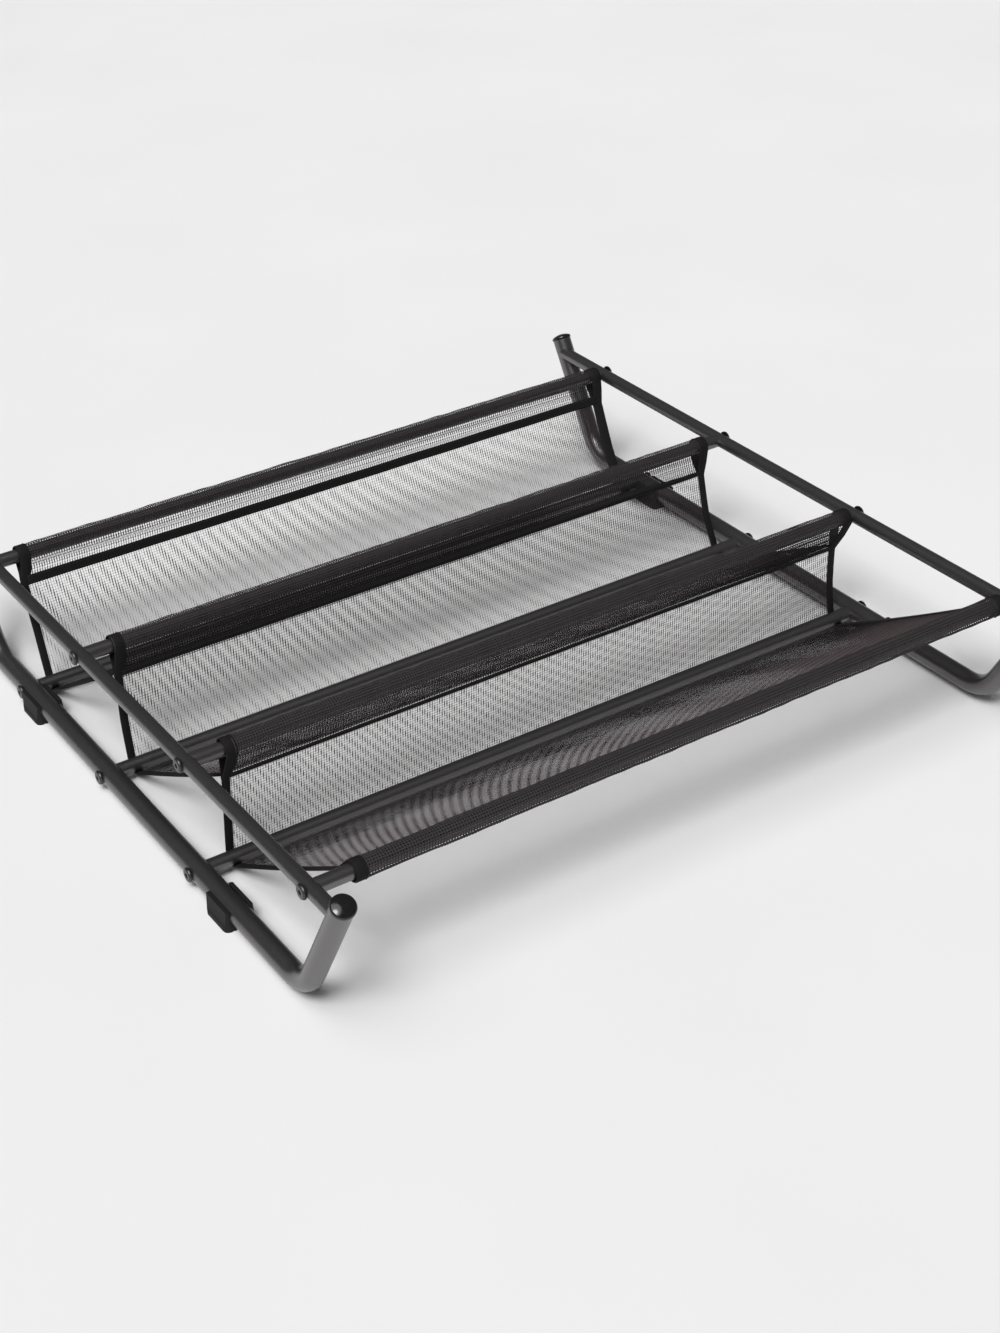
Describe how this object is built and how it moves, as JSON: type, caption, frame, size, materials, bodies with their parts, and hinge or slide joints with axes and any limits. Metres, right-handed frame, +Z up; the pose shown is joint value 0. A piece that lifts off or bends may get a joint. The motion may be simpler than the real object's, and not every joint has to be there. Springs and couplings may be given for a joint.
{
  "type": "underbed shoe rack",
  "caption": "Low shoe rack for under a bed: bent tube side frames, screwed cross tubes and a mesh sling hung in sloping troughs.",
  "frame": {"origin": "centre of the footprint on the floor, under the middle of the rack", "axes": "+Z up, -Y to the front, where the lowest slope ends, +X along the cross tubes to the right"},
  "size_m": [0.729, 0.753, 0.1413],
  "materials": {
    "frame_paint": "satin",
    "screw_steel": "satin",
    "insert_plastic": "matte",
    "cap_plastic": "gloss",
    "foot_rubber": "matte",
    "mesh_fabric": "matte",
    "binding_fabric": "matte"
  },
  "bodies": {
    "root": {"left_binding_1": "binding_fabric", "left_binding_2": "binding_fabric", "left_binding_3": "binding_fabric", "left_front_cap": "cap_plastic", "left_front_foot": "foot_rubber", "left_lower_inserts": "insert_plastic", "left_lower_screws": "screw_steel", "left_rear_cap": "cap_plastic", "left_rear_foot": "foot_rubber", "left_side_tube": "frame_paint", "left_upper_bar": "frame_paint", "left_upper_inserts": "insert_plastic", "left_upper_screws": "screw_steel", "lower_cross_tube_1": "frame_paint", "lower_cross_tube_2": "frame_paint", "lower_cross_tube_3": "frame_paint", "mesh_trough_1": "mesh_fabric", "mesh_trough_2": "mesh_fabric", "mesh_trough_3": "mesh_fabric", "right_binding_1": "binding_fabric", "right_binding_2": "binding_fabric", "right_binding_3": "binding_fabric", "right_front_cap": "cap_plastic", "right_front_foot": "foot_rubber", "right_lower_inserts": "insert_plastic", "right_lower_screws": "screw_steel", "right_rear_cap": "cap_plastic", "right_rear_foot": "foot_rubber", "right_side_tube": "frame_paint", "right_upper_bar": "frame_paint", "right_upper_inserts": "insert_plastic", "right_upper_screws": "screw_steel", "seam_tape_1": "binding_fabric", "seam_tape_2": "binding_fabric", "seam_tape_3": "binding_fabric", "seam_tape_4": "binding_fabric", "upper_cross_tube_1": "frame_paint", "upper_cross_tube_2": "frame_paint", "upper_cross_tube_3": "frame_paint", "upper_cross_tube_4": "frame_paint"}
  },
  "joints": []
}
